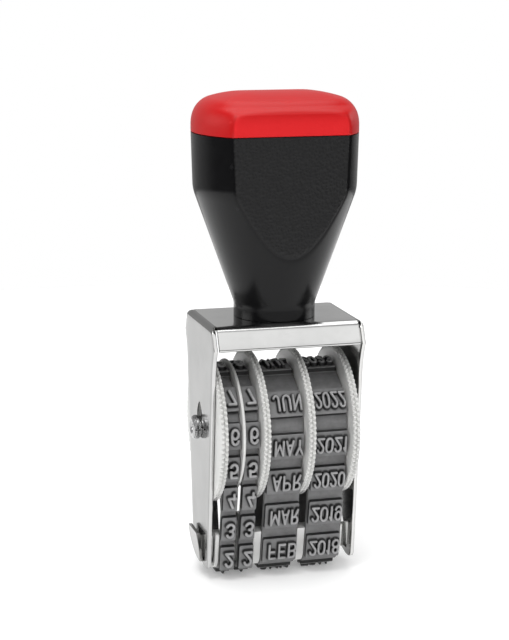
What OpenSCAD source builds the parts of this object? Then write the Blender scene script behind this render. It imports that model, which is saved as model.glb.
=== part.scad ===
// Rotary date stamp with four rubber date bands, thumbwheels and a handle.
// Origin: bottom centre, on the faces of the date type that prints.
// X runs along the axle, the reader's side is -Y, and the handle stands up +Z.

/* [Frame] */
// Outer width over the two side plates
frame_w = 35; // [34.6:0.1:36]
// Height of the top plate's upper face
frame_top = 60; // [59:0.5:63]
// Sheet thickness of the frame
sheet_t = 0.9; // [0.8:0.05:1]
// Half depth of the top plate's flat, up to its front and back folds
top_half_d = 10.5; // [10:0.1:11]
// Angle that the front and back lips are folded down through
lip_fold = 65; // [60:1:75]
// Height that the flared lips hang below the top plate
lip_drop = 5; // [4.5:0.1:5.5]
// Half depth of a side plate at its foot
foot_half_d = 7.4; // [7:0.1:8]
// Height of the side plates' feet above the printing faces
foot_z = 2.8; // [2.5:0.1:3]

/* [Wheels] */
// Height of the axle
axle_z = 34.8; // [34:0.1:36]
// Radius of the axle rod
axle_r = 1.7; // [1.5:0.1:2]
// Radius over the teeth of a thumbwheel disc
disc_r = 17.1; // [16.5:0.1:17.3]
// Thickness of a thumbwheel disc
disc_t = 1.55; // [1.3:0.05:1.6]
// Number of teeth around a thumbwheel disc
disc_teeth = 90; // [60:2:96]
// Radius of the smooth divider disc
divider_r = 15.2; // [14.8:0.1:15.6]
// Thickness of the divider disc
divider_t = 0.6; // [0.4:0.1:0.6]

/* [Bands] */
// Inner radius of a band where it runs round its wheel
band_in_r = 11.5; // [11.4:0.1:11.8]
// Thickness of the rubber web
web_t = 1.2; // [1:0.1:1.4]
// Height of the raised plinth under each character
plinth_h = 1; // [0.8:0.1:1]
// Height of the type on its plinth
type_h = 1; // [0.8:0.1:1]
// Number of places on each day band
day_places = 15; // [14:1:15]
// Number of places on the month and year bands
word_places = 13; // [12:1:13]
// Length of a plinth along the band
plinth_l = 5.8; // [5.4:0.1:6.4]
// Height of the characters along the band
type_l = 4.6; // [4.2:0.1:4.8]
// Width of the two day bands
day_band_w = 3.4; // [3.2:0.1:3.4]
// Width of the month and year bands
word_band_w = 8.3; // [8:0.1:8.3]

/* [Handle] */
// Half width of the handle at the cap
handle_half_w = 18.7; // [18:0.1:19.4]
// Half depth that the handle's round sides would reach at the cap
handle_round_d = 19.6; // [18.6:0.1:20.4]
// Half depth over the flat front and back
handle_half_d = 13.9; // [13:0.1:14.5]
// Height of the seam between the handle and its cap
seam_z = 101.7; // [100:0.1:103]
// Overall height of the stamp
stamp_h = 110.6; // [109.8:0.1:112]
// Wall thickness of the handle moulding
handle_wall = 2; // [1.6:0.1:2.4]

/* [Hidden] */

// Clearances: turning fit on the axle, loose fit at the sides, fit of the still parts
run_gap = 0.05;
side_gap = 0.15;
seat_gap = 0.03;

// Faces of the frame
half_w = frame_w / 2;
plate_in = half_w - sheet_t;
lip_z = frame_top - lip_drop;
lip_r = 1.5;
lip_run = (lip_drop - lip_r * (1 - cos(lip_fold))) / sin(lip_fold);
lip_half_d = top_half_d + lip_r * sin(lip_fold) + lip_run * cos(lip_fold);

// Places along the axle, from left to right
disc_1_x = -16.5;
disc_2_x = -6.75;
disc_3_x = 3.65;
disc_4_x = 13.95;
divider_x = -11.2;
band_1_x = -14.8;
band_2_x = -10.4;
band_3_x = -4.95;
band_4_x = 5.4;

// Band path: flat under the nose, two nose corners, two straight runs and the wheel
nose_flat = 3.3;
nose_r = 2.5;
nose_z = web_t + plinth_h + type_h;
corner_z = nose_z + nose_r;
drum_r = band_in_r - 0.3;
path_d = norm([nose_flat, axle_z - corner_z]);
run_tilt = asin((band_in_r - nose_r) / path_d) - atan(nose_flat / (axle_z - corner_z));
run_len = sqrt(pow(path_d, 2) - pow(band_in_r - nose_r, 2));
corner_len = (nose_r + web_t / 2) * (90 - run_tilt) * PI / 180;
arc_len = (band_in_r + web_t / 2) * (90 + run_tilt) * PI / 180;
half_loop = nose_flat + corner_len + run_len + arc_len;

// Nose bridge inside the bands
nose_top = 11.5;
nose_gap = 0.15;
fin_rise = 0.9;
end_fin_w = 0.8;
nose_left = band_1_x - side_gap - end_fin_w;
nose_right = band_4_x + word_band_w + side_gap + end_fin_w;

// Steel carrier through the nose and the side plates
carrier_y = -2.9;
carrier_t = 0.9;
carrier_low = 4.4;
carrier_high = 10;
slot_front = -4.2;
slot_back = carrier_y + carrier_t + 0.1;

// Handle fixing
screw_r = 2;
screw_top = 72;
washer_t = 0.8;
washer_r = 4.5;
head_r = 3.5;
head_h = 2.2;
insert_r = 3;
insert_low = 63;
insert_high = 71;
boss_top = 73;
cap_proud = 2;

// Corners of the handle's outline: height, size as a share of the section at the cap
round_steps = 48;
curve_steps = 4;
neck_size = 0.491;
neck_h = 3.1;
neck_round = 0.7;
shoulder_size = 0.98;
shoulder_z = 88.9;
shoulder_round = 1.4;
NECK_FOOT = [frame_top, neck_size];
NECK_TOP = [frame_top + neck_h, neck_size];
SHOULDER = [shoulder_z, shoulder_size];
SEAM = [seam_z, 1];
NECK_CURVE = round_corner(NECK_FOOT, NECK_TOP, SHOULDER, neck_round);
SHOULDER_CURVE = round_corner(NECK_TOP, SHOULDER, SEAM, shoulder_round);
HANDLE_RISE = concat([NECK_FOOT], NECK_CURVE, SHOULDER_CURVE, [SEAM]);
BOSS_TOP = toward(NECK_TOP, SHOULDER, boss_top - NECK_TOP[0]);
HOLLOW_RISE = concat([BOSS_TOP], SHOULDER_CURVE, [[seam_z + 1, 1]]);

// Rounding of the cap: a roll above a short upright stretch, then a low crown. Its flats roll in later
roll_low = seam_z + 1.3;
roll_h = 6.4;
roll_in = 4.5;
roll_turn = 76;
crown_in = 12;
flat_lag = 0.7;
roll_steps = 12;
crown_steps = 5;
ROLL_END = roll_point(roll_turn);
CAP_ROLL = concat(
  [[seam_z, 0, 0]],
  [for (i = [0 : roll_steps]) roll_step(roll_point(roll_turn * i / roll_steps))],
  [for (i = [1 : crown_steps]) roll_step(crown_point(i / crown_steps))]
);
CAP_RISE = [for (step = CAP_ROLL) [step[0], 1 - step[1] / handle_half_w]];

// Point on the line from p towards q whose height is h from p
function toward(p, q, h) = p + (q - p) * h / abs(q[0] - p[0]);

// Curve that rounds the corner b between a and c, over the height reach on either side
function round_corner(a, b, c, reach) =
  let (from = toward(b, a, reach), to = toward(b, c, reach))
  [for (i = [0 : curve_steps])
    let (t = i / curve_steps)
    (1 - t) * (1 - t) * from + 2 * t * (1 - t) * b + t * t * to];

// Height and inset of the cap's round sides: at the angle a of the roll, and at the share t of the crown
function roll_point(a) = [roll_low + roll_h * pow(sin(a), 0.83), roll_in * (1 - pow(cos(a), 1.25))];
function crown_point(t) =
  [stamp_h - (stamp_h - ROLL_END[0]) * pow(1 - t, 2), ROLL_END[1] + (crown_in - ROLL_END[1]) * t];

// One section of the cap: [height, inset of its round sides, inset of its flats]
function roll_step(p) = [p[0], p[1], max(0, p[1] - flat_lag * (1 - pow(min(1, p[1] / roll_in), 2)))];

// Point of the band's middle line at the distance s from the bottom centre towards
// the front: [y, z, turn], where turn is 0 facing down and 90 facing the front
function half_path(s) =
  s < nose_flat ? [-s, nose_z - web_t / 2, 0] :
  s < nose_flat + corner_len ? corner_point(s - nose_flat) :
  s < nose_flat + corner_len + run_len ? run_point(s - nose_flat - corner_len) :
  arc_point(s - nose_flat - corner_len - run_len);
function corner_point(s) =
  let (r = nose_r + web_t / 2, a = s / r * 180 / PI)
  [-nose_flat - r * sin(a), corner_z - r * cos(a), a];
function run_point(s) =
  let (from = corner_point(corner_len))
  [from[0] - s * sin(run_tilt), from[1] + s * cos(run_tilt), 90 - run_tilt];
function arc_point(s) =
  let (r = band_in_r + web_t / 2, a = 90 - run_tilt + s / r * 180 / PI)
  [-r * sin(a), axle_z - r * cos(a), a];
function band_path(s) =
  s <= half_loop ? half_path(s) :
  let (p = half_path(2 * half_loop - s)) [-p[0], p[1], -p[2]];

// Turns a YZ outline into a solid that starts at x and runs w along +X
module along_x(x, w) {
  translate([x, 0, 0]) rotate([90, 0, 90]) linear_extrude(w) children();
}

// Cylinder along the axle, from x to x + w
module on_axle(x, w, r) {
  translate([x, 0, axle_z]) rotate([0, 90, 0]) cylinder(h = w, r = r, $fn = 96);
}

// Region inside the band path, grown outwards by g
module loop_region(g) {
  big = band_in_r + g;
  small = nose_r + g;
  translate([0, axle_z]) circle(r = big, $fn = 128);
  for (side = [-1, 1]) translate([side * nose_flat, corner_z]) circle(r = small, $fn = 64);
  polygon([
    [-nose_flat, corner_z - small],
    [nose_flat, corner_z - small],
    [nose_flat + small * cos(run_tilt), corner_z - small * sin(run_tilt)],
    [big * cos(run_tilt), axle_z - big * sin(run_tilt)],
    [-big * cos(run_tilt), axle_z - big * sin(run_tilt)],
    [-nose_flat - small * cos(run_tilt), corner_z - small * sin(run_tilt)]
  ]);
}

// Ellipse of the handle's round sides at s times its size at the cap, drawn inwards by inset
function round_points(s, inset) =
  [for (i = [0 : round_steps - 1])
    let (t = 360 * (i + 0.5) / round_steps)
    [(handle_half_w - inset) * s * cos(t), (handle_round_d - inset) * s * sin(t)]];

// Upright part of the handle with one section, the ellipse cut by the flats, from z to z + h
module handle_prism(z, h, s, inset) {
  translate([0, 0, z]) linear_extrude(h) intersection() {
    polygon(round_points(s, inset));
    translate([-2 * handle_half_w, -handle_half_d + inset])
      square([4 * handle_half_w, 2 * (handle_half_d - inset)]);
  }
}

// Round body that rises through a list of [height, size] sections
module round_rise(steps, inset = 0) {
  n = round_steps;
  top = len(steps) - 1;
  polyhedron(
    points = [for (step = steps, p = round_points(step[1], inset)) [p[0], p[1], step[0]]],
    faces = concat(
      [[for (i = [0 : n - 1]) i]],
      [[for (i = [n - 1 : -1 : 0]) top * n + i]],
      [for (k = [0 : top - 1], i = [0 : n - 1])
        let (j = (i + 1) % n) [k * n + i, (k + 1) * n + i, (k + 1) * n + j, k * n + j]]
    )
  );
}

// Round body cut by the handle's flat front and back
module handle_rise(steps, inset = 0) {
  half_d = handle_half_d - inset;
  intersection() {
    round_rise(steps, inset);
    translate([-2 * handle_half_w, -half_d, 0]) cube([4 * handle_half_w, 2 * half_d, 2 * stamp_h]);
  }
}

// Cap above the seam: its round sides roll over at the top, and so do its flats
module cap_dome() {
  CAP_SIDE = [for (step = CAP_ROLL) [handle_half_d - step[2], step[0]]];
  last = len(CAP_SIDE) - 1;
  intersection() {
    round_rise(CAP_RISE);
    along_x(-2 * handle_half_w, 4 * handle_half_w) polygon(concat(
      [[-handle_half_d, seam_z - 1], [handle_half_d, seam_z - 1]],
      CAP_SIDE,
      [for (i = [last : -1 : 0]) [-CAP_SIDE[i][0], CAP_SIDE[i][1]]]
    ));
  }
}

// Outline of a side plate: flared at the lips, tapering to a rounded foot
module plate_outline() {
  waist_z = 46;
  waist = 11.6;
  toe_r = 1.9;
  toe_end = -3.2;
  heel_r = 6;
  heel_lift = 1;
  steps = 8;
  flare = [for (i = [0 : steps])
    let (u = i / steps) [waist + (lip_half_d - waist) * u * u, waist_z + (lip_z - waist_z) * u]];
  shoulder = [for (i = [0 : 8])
    let (a = lip_fold * (1 - i / 8))
    [top_half_d + lip_r * sin(a), frame_top - lip_r + lip_r * cos(a)]];
  toe = [for (i = [0 : 6]) let (a = 180 + 15 * i)
    [-foot_half_d + toe_r + toe_r * cos(a), foot_z + toe_r + toe_r * sin(a)]];
  heel = [for (i = [0 : 6]) let (a = 270 + 15 * i)
    [foot_half_d - heel_r + heel_r * cos(a), foot_z + heel_lift + heel_r + heel_r * sin(a)]];
  polygon(concat(
    toe, [[toe_end, foot_z]], heel, flare, shoulder,
    [for (i = [len(shoulder) - 1 : -1 : 0]) [-shoulder[i][0], shoulder[i][1]]],
    [for (i = [steps : -1 : 0]) [-flare[i][0], flare[i][1]]]
  ));
}

// Drop-shaped hole that lets the axle snap in from above
module axle_hole() {
  drop_low = axle_z + 1.1;
  drop_mid = axle_z + 3.4;
  drop_top = axle_z + 5.3;
  low_half = 1.2;
  mid_half = 1;
  translate([0, axle_z]) circle(r = axle_r + seat_gap, $fn = 48);
  polygon([
    [-low_half, drop_low], [low_half, drop_low], [mid_half, drop_mid], [0, drop_top], [-mid_half, drop_mid]
  ]);
}

// Slot for the carrier's end, open at its front for the bent tab
module carrier_slot() {
  slot_h = carrier_high - carrier_low + 0.5;
  translate([slot_front, carrier_low - 0.1]) square([slot_back - slot_front, slot_h]);
}

// Points down one side of the top plate's profile, r from the middle of the fold
function lip_side(r) = concat(
  [for (i = [0 : 8]) let (a = lip_fold * i / 8) [top_half_d + r * sin(a), frame_top - lip_r + r * cos(a)]],
  [[
    top_half_d + r * sin(lip_fold) + lip_run * cos(lip_fold),
    frame_top - lip_r + r * cos(lip_fold) - lip_run * sin(lip_fold)
  ]]
);

// Profile of the top plate with its two flared lips
module lip_profile() {
  outer = lip_side(lip_r);
  inner = lip_side(lip_r - sheet_t);
  last = len(outer) - 1;
  for (side = [0, 1]) mirror([side, 0]) polygon(concat(
    [[0, frame_top]], outer, [for (i = [last : -1 : 0]) inner[i]], [[0, frame_top - sheet_t]]
  ));
}

module frame() {
  bend_r = 1.3;
  slit = 0.3;
  color("silver") {
    difference() {
      union() {
        // Lips between the corner slits, and the plate between the folds
        along_x(-plate_in + slit, 2 * (plate_in - slit)) lip_profile();
        translate([-half_w + bend_r, -top_half_d, frame_top - sheet_t])
          cube([frame_w - 2 * bend_r, 2 * top_half_d, sheet_t]);
      }
      translate([0, 0, frame_top - 2]) cylinder(h = 4, r = screw_r + 0.2, $fn = 48);
    }
    for (side = [-1, 1]) mirror([side > 0 ? 1 : 0, 0, 0]) {
      // Rounded fold between the top plate and the side plate
      translate([-half_w + bend_r, top_half_d, frame_top - bend_r]) rotate([90, 0, 0])
        difference() {
          cylinder(h = 2 * top_half_d, r = bend_r, $fn = 48);
          translate([0, 0, -1]) cylinder(h = 2 * top_half_d + 2, r = bend_r - sheet_t, $fn = 48);
          translate([0, -2 * bend_r, -1]) cube([2 * bend_r, 4 * bend_r, 2 * top_half_d + 2]);
          translate([-2 * bend_r, -2 * bend_r, -1]) cube([4 * bend_r, 2 * bend_r, 2 * top_half_d + 2]);
        }
      difference() {
        along_x(-half_w, sheet_t) plate_outline();
        along_x(-half_w - 1, sheet_t + 2) axle_hole();
        along_x(-half_w - 1, sheet_t + 2) carrier_slot();
        translate([-half_w - 1, -lip_half_d - 1, frame_top - bend_r])
          cube([sheet_t + 2, 2 * lip_half_d + 2, 5]);
      }
    }
  }
}

module handle_shell() {
  color("#1a1a1c") difference() {
    handle_rise(HANDLE_RISE);
    // Hollow above the solid neck, open under the cap
    handle_rise(HOLLOW_RISE, handle_wall);
    translate([0, 0, insert_low - 0.5]) cylinder(h = 20, r = insert_r + seat_gap, $fn = 48);
    translate([0, 0, frame_top - 1]) cylinder(h = 5, r = screw_r + 0.2, $fn = 48);
  }
}

module handle_cap() {
  skirt_h = 4;
  plug_inset = handle_wall + 0.1;
  plug_wall = 1.3;
  hollow_h = 4;
  color("#d8141c") difference() {
    union() {
      cap_dome();
      // Skirt that plugs into the shell
      handle_prism(seam_z - skirt_h, skirt_h + 1, 0.99, plug_inset);
    }
    handle_prism(seam_z - skirt_h - 1, skirt_h + 1 + hollow_h, 0.99, plug_inset + plug_wall);
  }
}

module handle_insert() {
  color("#b08d3a") difference() {
    translate([0, 0, insert_low]) cylinder(h = insert_high - insert_low, r = insert_r, $fn = 48);
    translate([0, 0, insert_low - 1]) cylinder(h = 20, r = screw_r + seat_gap, $fn = 48);
  }
}

module handle_screw() {
  head_z = frame_top - sheet_t - washer_t - head_h;
  color("#8f9296") difference() {
    union() {
      translate([0, 0, head_z]) cylinder(h = head_h, r = head_r, $fn = 48);
      translate([0, 0, head_z + head_h]) cylinder(h = screw_top - head_z - head_h, r = screw_r, $fn = 48);
    }
    // Cross recess in the head
    for (turn = [0, 90]) rotate([0, 0, turn]) translate([-2.1, -0.4, head_z - 1]) cube([4.2, 0.8, 2.3]);
  }
}

module handle_washer() {
  color("#a5a8ac") translate([0, 0, frame_top - sheet_t - washer_t]) difference() {
    cylinder(h = washer_t, r = washer_r, $fn = 64);
    translate([0, 0, -1]) cylinder(h = washer_t + 2, r = screw_r + 0.15, $fn = 48);
  }
}

module axle() {
  reach = half_w + cap_proud - 0.5;
  color("#a8abae") on_axle(-reach, 2 * reach, axle_r);
}

// Fluted cap that holds an end of the axle against the side plate; its open side is at x = 0
module axle_cap(out) {
  flutes = 12;
  cap_r = 2.8;
  color("#bfc2c5") translate([half_w * out, 0, axle_z]) rotate([0, 90 * out, 0]) difference() {
    union() {
      cylinder(h = cap_proud - 0.6, r = cap_r, $fn = 64);
      translate([0, 0, cap_proud - 0.6]) cylinder(h = 0.6, r1 = cap_r, r2 = cap_r - 0.7, $fn = 64);
    }
    translate([0, 0, -1]) cylinder(h = cap_proud + 0.5, r = axle_r + seat_gap, $fn = 48);
    translate([0, 0, -1]) cylinder(h = cap_proud + 3, r = 0.9, $fn = 32);
    for (i = [0 : flutes - 1]) rotate([0, 0, i * 360 / flutes])
      translate([cap_r + 0.15, 0, -1]) cylinder(h = cap_proud + 3, r = 0.4, $fn = 24);
  }
}

module axle_cap_left() {
  axle_cap(-1);
}

module axle_cap_right() {
  axle_cap(1);
}

module friction_washer() {
  x = disc_4_x + disc_t + 0.1;
  color("#9a9da1") difference() {
    on_axle(x, plate_in - x - 0.05, 5);
    on_axle(x - 1, 4, axle_r + 0.1);
  }
}

// Toothed disc and drum of a thumbwheel, in one moulding
module thumbwheel(disc_x, drum_x, drum_w) {
  tooth_h = 0.35;
  tooth_w = 0.6;
  bite = 0.2;
  root_r = disc_r - tooth_h;
  color("#f0f0ee") difference() {
    union() {
      along_x(disc_x, disc_t) translate([0, axle_z]) {
        circle(r = root_r, $fn = 128);
        for (i = [0 : disc_teeth - 1]) rotate(i * 360 / disc_teeth)
          translate([root_r - bite, -tooth_w / 2]) square([tooth_h + bite, tooth_w]);
      }
      on_axle(drum_x, drum_w, drum_r);
    }
    on_axle(-half_w, frame_w, axle_r + run_gap);
  }
}

module wheel_day_tens() {
  thumbwheel(disc_1_x, disc_1_x + disc_t / 2, divider_x - side_gap - disc_1_x - disc_t / 2);
}

module wheel_day_units() {
  from = divider_x + divider_t + side_gap;
  thumbwheel(disc_2_x, from, disc_2_x + disc_t / 2 - from);
}

module wheel_month() {
  from = disc_2_x + disc_t + side_gap;
  thumbwheel(disc_3_x, from, disc_3_x + disc_t / 2 - from);
}

module wheel_year() {
  from = disc_3_x + disc_t + side_gap;
  thumbwheel(disc_4_x, from, disc_4_x + disc_t / 2 - from);
}

module divider_disc() {
  color("#e6e6e4") difference() {
    on_axle(divider_x, divider_t, divider_r);
    on_axle(divider_x - 1, divider_t + 2, axle_r + run_gap);
  }
}

// Endless rubber band with a plinth and raised type at each place
module band(x, w, places) {
  pitch = 2 * half_loop / places;
  plinth_w = w - 0.6;
  type_w = w - 1.1;
  bite = 0.9;
  color("#6d6e70") {
    along_x(x, w) difference() {
      loop_region(web_t);
      loop_region(0);
    }
    for (i = [0 : places - 1]) {
      at = band_path(i * pitch);
      translate([x + w / 2, at[0], at[1]]) rotate([-at[2], 0, 0]) {
        translate([-plinth_w / 2, -plinth_l / 2, -web_t / 2 - plinth_h])
          cube([plinth_w, plinth_l, plinth_h + bite]);
        translate([-type_w / 2, -type_l / 2, -web_t / 2 - plinth_h - type_h])
          cube([type_w, type_l, type_h + bite]);
      }
    }
  }
}

module band_day_tens() {
  band(band_1_x, day_band_w, day_places);
}

module band_day_units() {
  band(band_2_x, day_band_w, day_places);
}

module band_month() {
  band(band_3_x, word_band_w, word_places);
}

module band_year() {
  band(band_4_x, word_band_w, word_places);
}

// Lower part of the loop region, up to the top of the nose
module nose_section(g) {
  intersection() {
    loop_region(g);
    translate([-20, 0]) square([40, nose_top]);
  }
}

module nose_bridge() {
  FINS = [
    [nose_left, band_1_x - side_gap],
    [band_1_x + day_band_w + side_gap, band_2_x - side_gap],
    [band_2_x + day_band_w + side_gap, band_3_x - side_gap],
    [band_3_x + word_band_w + side_gap, band_4_x - side_gap],
    [band_4_x + word_band_w + side_gap, nose_right]
  ];
  color("#ededea") difference() {
    union() {
      along_x(nose_left, nose_right - nose_left) nose_section(-nose_gap);
      for (fin = FINS) along_x(fin[0], fin[1] - fin[0]) nose_section(fin_rise);
    }
    translate([-half_w, carrier_y - 0.05, carrier_low - 0.05])
      cube([frame_w, carrier_t + 0.1, carrier_high - carrier_low + 0.1]);
  }
}

// Steel strip through the nose, with a leaf folded back over each side plate
module nose_carrier() {
  leaf_x = half_w + 0.05;
  leaf_d = 8.6;
  leaf_top = 10.2;
  leaf_drop = leaf_top - carrier_low + 0.6;
  steps = 10;
  color("#b4b7ba") {
    translate([-leaf_x - carrier_t, carrier_y, carrier_low])
      cube([2 * (leaf_x + carrier_t), carrier_t, carrier_high - carrier_low]);
    for (side = [-1, 1]) along_x(side > 0 ? leaf_x : -leaf_x - carrier_t, carrier_t) polygon(concat(
      [[carrier_y, carrier_low], [carrier_y, carrier_high]],
      [for (i = [0 : steps]) let (a = 90 * i / steps)
        [carrier_y + leaf_d * pow(cos(a), 0.8), leaf_top - leaf_drop * pow(sin(a), 1.2)]]
    ));
  }
}

frame();
handle_shell();
handle_cap();
handle_insert();
handle_screw();
handle_washer();
axle();
axle_cap_left();
axle_cap_right();
friction_washer();
wheel_day_tens();
wheel_day_units();
wheel_month();
wheel_year();
divider_disc();
band_day_tens();
band_day_units();
band_month();
band_year();
nose_bridge();
nose_carrier();
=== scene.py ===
"""Rotary date stamp: detailed pieces, materials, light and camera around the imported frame.

Lengths of the object are in mm. Shader distances and the stage are in metres.
"""

import math

import bmesh
import bpy
import numpy as np
from mathutils import Matrix, Vector


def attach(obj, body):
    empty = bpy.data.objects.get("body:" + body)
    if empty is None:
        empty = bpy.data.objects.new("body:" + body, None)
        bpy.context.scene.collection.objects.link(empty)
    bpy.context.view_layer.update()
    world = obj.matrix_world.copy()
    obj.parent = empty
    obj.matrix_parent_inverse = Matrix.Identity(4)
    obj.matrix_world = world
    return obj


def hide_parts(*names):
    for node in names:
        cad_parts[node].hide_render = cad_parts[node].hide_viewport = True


MM = 0.001
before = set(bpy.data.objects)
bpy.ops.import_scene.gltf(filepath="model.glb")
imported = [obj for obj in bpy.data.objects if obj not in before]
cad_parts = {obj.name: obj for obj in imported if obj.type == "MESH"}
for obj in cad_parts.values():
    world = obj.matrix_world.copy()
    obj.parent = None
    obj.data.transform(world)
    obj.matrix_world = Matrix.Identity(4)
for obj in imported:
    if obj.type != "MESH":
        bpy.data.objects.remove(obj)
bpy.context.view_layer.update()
scene = bpy.context.scene

# Frame, as in the CAD
HALF_W = 17.5
FRAME_TOP = 60.0
SHEET_T = 0.9
PLATE_IN = HALF_W - SHEET_T
TOP_HALF_D = 9.95
LIP_FOLD = math.radians(65)
LIP_DROP = 5.0
LIP_R = 2.4
LIP_Z = FRAME_TOP - LIP_DROP
LIP_RUN = (LIP_DROP - LIP_R * (1 - math.cos(LIP_FOLD))) / math.sin(LIP_FOLD)
LIP_HALF_D = TOP_HALF_D + LIP_R * math.sin(LIP_FOLD) + LIP_RUN * math.cos(LIP_FOLD)
BEND_R = 1.3
WAIST_Z = 46.0
WAIST = 11.6
FOOT_HALF_D = 7.4
FOOT_Z = 2.8
TOE_R = 1.9
TOE_END = -3.2
HEEL_R = 6.0
HEEL_LIFT = 1.0
CARRIER_Y = -2.9
CARRIER_LOW = 4.4
CARRIER_HIGH = 10.0
FIN_W = 0.8

# Wheels
AXLE_Z = 34.8
AXLE_R = 1.7
BORE_R = AXLE_R + 0.05
SIDE_GAP = 0.15
DISC_R = 17.1
DISC_T = 1.55
DISC_X = [-16.5, -6.75, 3.65, 13.95]
DRUM_R = 11.2
TEETH = 90
RIM_BUMP = 0.8
RIM_LIFT = (0.0, 0.45, 0.8, 1.0, 0.95, 0.6, 0.0)
FACE_R = (14.8, 15.4, 15.9)
DIVIDER_X = -11.2
DIVIDER_T = 0.6
DIVIDER_R = 15.2

# Bands: path under the nose, round its corners, up the run and over the drum
BAND_IN_R = 11.5
WEB_T = 1.2
PLINTH_H = 1.0
TYPE_H = 1.0
WORD_PLACES = 13
PLINTH_L = 5.8
BAND_CREEP = 0.7
BAND_STRETCH = 2.2
BAND_X = [-14.8, -10.4, -4.95, 5.4]
BAND_W = [3.4, 3.4, 8.3, 8.3]
NOSE_FLAT = 3.3
NOSE_R = 2.5
NOSE_Z = WEB_T + PLINTH_H + TYPE_H
CORNER_Z = NOSE_Z + NOSE_R
PATH_D = math.hypot(NOSE_FLAT, AXLE_Z - CORNER_Z)
RUN_TILT = math.asin((BAND_IN_R - NOSE_R) / PATH_D) - math.atan(NOSE_FLAT / (AXLE_Z - CORNER_Z))
RUN_LEN = math.sqrt(PATH_D ** 2 - (BAND_IN_R - NOSE_R) ** 2)
CORNER_LEN = (NOSE_R + WEB_T / 2) * (math.pi / 2 - RUN_TILT)
ARC_LEN = (BAND_IN_R + WEB_T / 2) * (math.pi / 2 + RUN_TILT)
HALF_LOOP = NOSE_FLAT + CORNER_LEN + RUN_LEN + ARC_LEN

# Handle: an ellipse that grows up its cone, cut by a flat front and back
ROUND_W = 18.7
ROUND_D = 19.6
HALF_D = 13.9
SEAM_Z = 101.7
STAMP_H = 110.6
HANDLE_WALL = 2.0
NECK_TOP = (FRAME_TOP + 3.1, 0.491)
SHOULDER = (88.9, 0.98)
ROLL_LOW = SEAM_Z + 1.3
ROLL_H = 6.4
ROLL_IN = 4.5
ROLL_TURN = math.radians(76)
CROWN_IN = 12.5
FLAT_LAG = 0.7
SEAM_EDGE = 0.1
SEAM_EDGE_H = 0.15


# ---------------------------------------------------------------- mesh helpers

def make_piece(name, bm, materials, body, nodes, sharp=35):
    """Turns a bmesh in mm into a piece in metres that stands for some CAD nodes."""
    bmesh.ops.remove_doubles(bm, verts=bm.verts, dist=1e-4)
    bmesh.ops.recalc_face_normals(bm, faces=bm.faces)
    bmesh.ops.scale(bm, vec=(MM, MM, MM), verts=bm.verts)
    mesh = bpy.data.meshes.new(name)
    bm.to_mesh(mesh)
    bm.free()
    for material in materials:
        mesh.materials.append(material)
    mesh.shade_smooth()
    mesh.set_sharp_from_angle(angle=math.radians(sharp))
    piece = bpy.data.objects.new(name, mesh)
    scene.collection.objects.link(piece)
    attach(piece, body)
    if nodes:
        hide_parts(*nodes)
    return piece


def add_rings(bm, rings, closed_way=False):
    """Joins rings of points, each with the same count, into a skin. The last ring joins the first if the way
    is closed, and otherwise each end gets a face."""
    rows = [[bm.verts.new(p) for p in ring] for ring in rings]
    count = len(rows[0])
    last = len(rows) if closed_way else len(rows) - 1
    for k in range(last):
        a, b = rows[k], rows[(k + 1) % len(rows)]
        for i in range(count):
            j = (i + 1) % count
            bm.faces.new((a[i], a[j], b[j], b[i]))
    if not closed_way:
        bm.faces.new(rows[0])
        bm.faces.new(rows[-1])
    return rows


def revolve(bm, profile, steps, lift=None):
    """Turns a closed (x, r) profile round the axle. lift(k, angle) may add to point k's radius."""
    rings = []
    for i in range(steps):
        a = 2 * math.pi * i / steps
        ring = []
        for k, (x, r) in enumerate(profile):
            if lift:
                r += lift(k, a)
            ring.append((x, r * math.sin(a), AXLE_Z + r * math.cos(a)))
        rings.append(ring)
    add_rings(bm, rings, closed_way=True)


# ------------------------------------------------------------------- materials

def node_of(tree, kind, **inputs):
    """New shader node with constants set on its sockets; an underscore stands for a space."""
    node = tree.nodes.new(kind)
    for key, value in inputs.items():
        node.inputs[key.replace("_", " ")].default_value = value
    return node


def noise(tree, coords, scale, detail=3.0, rough=0.55, stretch=None):
    """Noise over the coordinates, drawn out along an axis where stretch is below 1."""
    mapping = tree.nodes.new("ShaderNodeMapping")
    if stretch:
        mapping.inputs["Scale"].default_value = stretch
    tree.links.new(coords, mapping.inputs["Vector"])
    tex = node_of(tree, "ShaderNodeTexNoise", Scale=scale, Detail=detail, Roughness=rough)
    tree.links.new(mapping.outputs["Vector"], tex.inputs["Vector"])
    return tex.outputs["Fac"]


def spread(tree, value, low, high, from_low=0.3, from_high=0.7):
    """Maps a value from one range to another, held at the ends."""
    node = node_of(tree, "ShaderNodeMapRange", From_Min=from_low, From_Max=from_high, To_Min=low, To_Max=high)
    tree.links.new(value, node.inputs["Value"])
    return node.outputs["Result"]


def joined(tree, operation, a, b):
    """Result of a math operation on two sockets."""
    node = tree.nodes.new("ShaderNodeMath")
    node.operation = operation
    tree.links.new(a, node.inputs[0])
    tree.links.new(b, node.inputs[1])
    return node.outputs[0]


def mixed(tree, fac, a, b):
    """Mix of two colours, each a constant or a socket."""
    node = tree.nodes.new("ShaderNodeMix")
    node.data_type = "RGBA"
    tree.links.new(fac, node.inputs[0])
    for socket, colour in ((6, a), (7, b)):
        if isinstance(colour, tuple):
            node.inputs[socket].default_value = (*colour, 1.0)
        else:
            tree.links.new(colour, node.inputs[socket])
    return node.outputs[2]


def bumped(tree, height, distance, strength=1.0, after=None):
    """Normal with a bump of the given distance in metres, on top of another normal."""
    node = node_of(tree, "ShaderNodeBump", Strength=strength, Distance=distance)
    tree.links.new(height, node.inputs["Height"])
    if after is not None:
        tree.links.new(after, node.inputs["Normal"])
    return node.outputs["Normal"]


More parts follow.
